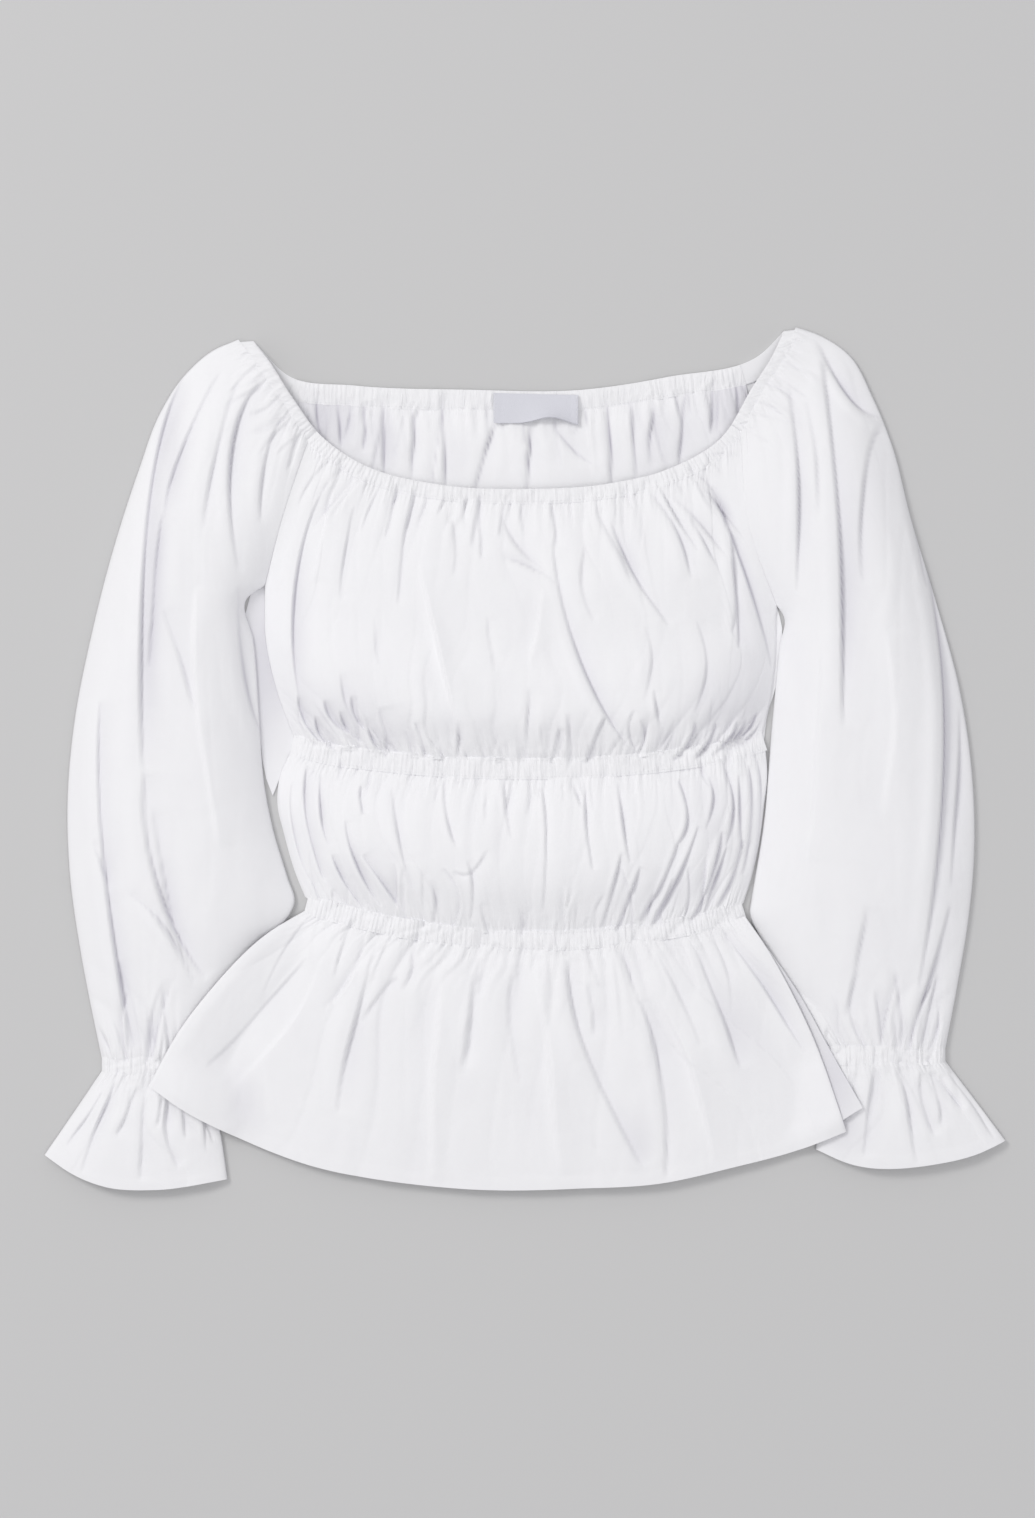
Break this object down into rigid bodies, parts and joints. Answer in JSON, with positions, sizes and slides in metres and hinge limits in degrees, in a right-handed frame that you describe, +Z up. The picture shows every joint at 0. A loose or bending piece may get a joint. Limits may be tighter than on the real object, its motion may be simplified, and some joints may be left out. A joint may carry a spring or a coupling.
{
  "type": "peasant blouse",
  "caption": "Off-shoulder peasant blouse laid flat, with elasticated neckline, under-bust, waist and wrists, balloon sleeves, flounces and a peplum.",
  "frame": {"origin": "centre of the blouse's box on the surface that it lies on", "axes": "+Z up from the surface and out of the front, +Y from the hem to the neck, +X to the right of someone who looks down at it with its neck at the top"},
  "size_m": [0.672, 0.6018, 0.0354],
  "materials": {
    "cotton_poplin": "crisp white cotton poplin with a fine plain weave, matt, gathered and creased",
    "elastic_casing": "the same white poplin turned over flat elastic, crimped and topstitched",
    "woven_label": "smooth pale blue-grey woven tape, blank"
  },
  "bodies": {
    "root": {"front_bodice": "cotton_poplin", "back_bodice": "cotton_poplin", "front_midriff": "cotton_poplin", "back_midriff": "cotton_poplin", "front_peplum": "cotton_poplin", "back_peplum": "cotton_poplin", "left_sleeve": "cotton_poplin", "right_sleeve": "cotton_poplin", "left_flounce": "cotton_poplin", "right_flounce": "cotton_poplin", "left_wrist_casing": "elastic_casing", "right_wrist_casing": "elastic_casing", "neck_casing_front": "elastic_casing", "neck_casing_back": "elastic_casing", "neck_casing_left": "elastic_casing", "neck_casing_right": "elastic_casing", "bust_casing_front": "elastic_casing", "bust_casing_back": "elastic_casing", "waist_casing_front": "elastic_casing", "waist_casing_back": "elastic_casing", "neck_label": "woven_label"}
  },
  "joints": []
}
